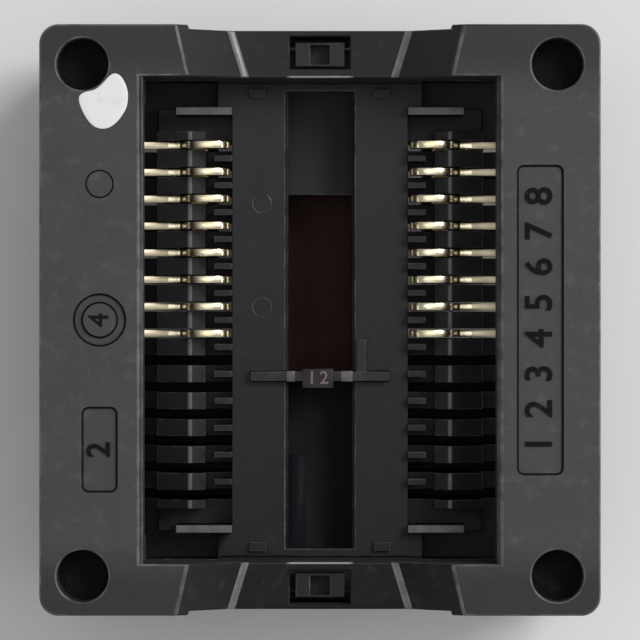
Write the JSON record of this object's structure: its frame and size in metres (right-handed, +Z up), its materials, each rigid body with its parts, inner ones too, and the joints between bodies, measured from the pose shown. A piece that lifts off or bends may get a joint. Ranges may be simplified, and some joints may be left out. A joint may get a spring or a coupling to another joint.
{
  "type": "open-top zero insertion force test socket",
  "caption": "Open-top test socket for wide-body small-outline chips: pressing its spring-loaded cover opens two rows of contacts.",
  "frame": {"origin": "middle of the base's underside, on the face that lies on the circuit board", "axes": "+Z up from the board, out of the socket's open top; +Y along the contact rows, towards the end with the paint dot and contact 1; +X across the rows"},
  "size_m": [0.026, 0.0274, 0.0157],
  "materials": {
    "base_plastic": "black glass-filled plastic, fine matt",
    "cover_plastic": "black glass-filled plastic, fine spark-eroded grain",
    "stop_plastic": "black plastic, satin",
    "spring_wire": "drawn stainless wire",
    "contact_foot": "gold over nickel on copper alloy",
    "contact_arm": "gold over nickel on copper alloy, bright"
  },
  "bodies": {
    "base": {"base": "base_plastic", "package_stop": "stop_plastic", "spring_1": "spring_wire", "spring_2": "spring_wire", "spring_3": "spring_wire", "spring_4": "spring_wire", "left_foot_1": "contact_foot", "left_foot_2": "contact_foot", "left_foot_3": "contact_foot", "left_foot_4": "contact_foot", "left_foot_5": "contact_foot", "left_foot_6": "contact_foot", "left_foot_7": "contact_foot", "left_foot_8": "contact_foot", "right_foot_1": "contact_foot", "right_foot_2": "contact_foot", "right_foot_3": "contact_foot", "right_foot_4": "contact_foot", "right_foot_5": "contact_foot", "right_foot_6": "contact_foot", "right_foot_7": "contact_foot", "right_foot_8": "contact_foot"},
    "cover": {"cover": "cover_plastic"},
    "left_arm_1": {"left_arm_1": "contact_arm"},
    "left_arm_2": {"left_arm_2": "contact_arm"},
    "left_arm_3": {"left_arm_3": "contact_arm"},
    "left_arm_4": {"left_arm_4": "contact_arm"},
    "left_arm_5": {"left_arm_5": "contact_arm"},
    "left_arm_6": {"left_arm_6": "contact_arm"},
    "left_arm_7": {"left_arm_7": "contact_arm"},
    "left_arm_8": {"left_arm_8": "contact_arm"},
    "right_arm_1": {"right_arm_1": "contact_arm"},
    "right_arm_2": {"right_arm_2": "contact_arm"},
    "right_arm_3": {"right_arm_3": "contact_arm"},
    "right_arm_4": {"right_arm_4": "contact_arm"},
    "right_arm_5": {"right_arm_5": "contact_arm"},
    "right_arm_6": {"right_arm_6": "contact_arm"},
    "right_arm_7": {"right_arm_7": "contact_arm"},
    "right_arm_8": {"right_arm_8": "contact_arm"}
  },
  "joints": [
    {"name": "cover_press", "type": "slide", "parent": "base", "child": "cover", "axis": [0, 0, -1], "range_m": [0, 0.002], "stiffness_N_per_m": 2500, "springref_m": -0.002, "deforming": ["spring_1", "spring_2", "spring_3", "spring_4"]},
    {"name": "left_arm_1_flex", "type": "hinge", "parent": "base", "child": "left_arm_1", "pos_m": [-0.0066, 0.00826, 0.0046], "axis": [0, -1, 0], "range_deg": [0, 25.94]},
    {"name": "left_arm_2_flex", "type": "hinge", "parent": "base", "child": "left_arm_2", "pos_m": [-0.0066, 0.00698, 0.0046], "axis": [0, -1, 0], "range_deg": [0, 25.94]},
    {"name": "left_arm_3_flex", "type": "hinge", "parent": "base", "child": "left_arm_3", "pos_m": [-0.0066, 0.00571, 0.0046], "axis": [0, -1, 0], "range_deg": [0, 25.94]},
    {"name": "left_arm_4_flex", "type": "hinge", "parent": "base", "child": "left_arm_4", "pos_m": [-0.0066, 0.00445, 0.0046], "axis": [0, -1, 0], "range_deg": [0, 25.94]},
    {"name": "left_arm_5_flex", "type": "hinge", "parent": "base", "child": "left_arm_5", "pos_m": [-0.0066, 0.00317, 0.0046], "axis": [0, -1, 0], "range_deg": [0, 25.94]},
    {"name": "left_arm_6_flex", "type": "hinge", "parent": "base", "child": "left_arm_6", "pos_m": [-0.0066, 0.00191, 0.0046], "axis": [0, -1, 0], "range_deg": [0, 25.94]},
    {"name": "left_arm_7_flex", "type": "hinge", "parent": "base", "child": "left_arm_7", "pos_m": [-0.0066, 0.00064, 0.0046], "axis": [0, -1, 0], "range_deg": [0, 25.94]},
    {"name": "left_arm_8_flex", "type": "hinge", "parent": "base", "child": "left_arm_8", "pos_m": [-0.0066, -0.00064, 0.0046], "axis": [0, -1, 0], "range_deg": [0, 25.94]},
    {"name": "right_arm_1_flex", "type": "hinge", "parent": "base", "child": "right_arm_1", "pos_m": [0.0066, 0.00826, 0.0046], "axis": [0, 1, 0], "range_deg": [0, 25.94]},
    {"name": "right_arm_2_flex", "type": "hinge", "parent": "base", "child": "right_arm_2", "pos_m": [0.0066, 0.00698, 0.0046], "axis": [0, 1, 0], "range_deg": [0, 25.94]},
    {"name": "right_arm_3_flex", "type": "hinge", "parent": "base", "child": "right_arm_3", "pos_m": [0.0066, 0.00571, 0.0046], "axis": [0, 1, 0], "range_deg": [0, 25.94]},
    {"name": "right_arm_4_flex", "type": "hinge", "parent": "base", "child": "right_arm_4", "pos_m": [0.0066, 0.00445, 0.0046], "axis": [0, 1, 0], "range_deg": [0, 25.94]},
    {"name": "right_arm_5_flex", "type": "hinge", "parent": "base", "child": "right_arm_5", "pos_m": [0.0066, 0.00317, 0.0046], "axis": [0, 1, 0], "range_deg": [0, 25.94]},
    {"name": "right_arm_6_flex", "type": "hinge", "parent": "base", "child": "right_arm_6", "pos_m": [0.0066, 0.00191, 0.0046], "axis": [0, 1, 0], "range_deg": [0, 25.94]},
    {"name": "right_arm_7_flex", "type": "hinge", "parent": "base", "child": "right_arm_7", "pos_m": [0.0066, 0.00064, 0.0046], "axis": [0, 1, 0], "range_deg": [0, 25.94]},
    {"name": "right_arm_8_flex", "type": "hinge", "parent": "base", "child": "right_arm_8", "pos_m": [0.0066, -0.00064, 0.0046], "axis": [0, 1, 0], "range_deg": [0, 25.94]}
  ],
  "couplings": [
    {"joint": "left_arm_1_flex", "follows": "cover_press", "rad_per_m": 226.3},
    {"joint": "left_arm_2_flex", "follows": "cover_press", "rad_per_m": 226.3},
    {"joint": "left_arm_3_flex", "follows": "cover_press", "rad_per_m": 226.3},
    {"joint": "left_arm_4_flex", "follows": "cover_press", "rad_per_m": 226.3},
    {"joint": "left_arm_5_flex", "follows": "cover_press", "rad_per_m": 226.3},
    {"joint": "left_arm_6_flex", "follows": "cover_press", "rad_per_m": 226.3},
    {"joint": "left_arm_7_flex", "follows": "cover_press", "rad_per_m": 226.3},
    {"joint": "left_arm_8_flex", "follows": "cover_press", "rad_per_m": 226.3},
    {"joint": "right_arm_1_flex", "follows": "cover_press", "rad_per_m": 226.3},
    {"joint": "right_arm_2_flex", "follows": "cover_press", "rad_per_m": 226.3},
    {"joint": "right_arm_3_flex", "follows": "cover_press", "rad_per_m": 226.3},
    {"joint": "right_arm_4_flex", "follows": "cover_press", "rad_per_m": 226.3},
    {"joint": "right_arm_5_flex", "follows": "cover_press", "rad_per_m": 226.3},
    {"joint": "right_arm_6_flex", "follows": "cover_press", "rad_per_m": 226.3},
    {"joint": "right_arm_7_flex", "follows": "cover_press", "rad_per_m": 226.3},
    {"joint": "right_arm_8_flex", "follows": "cover_press", "rad_per_m": 226.3}
  ]
}
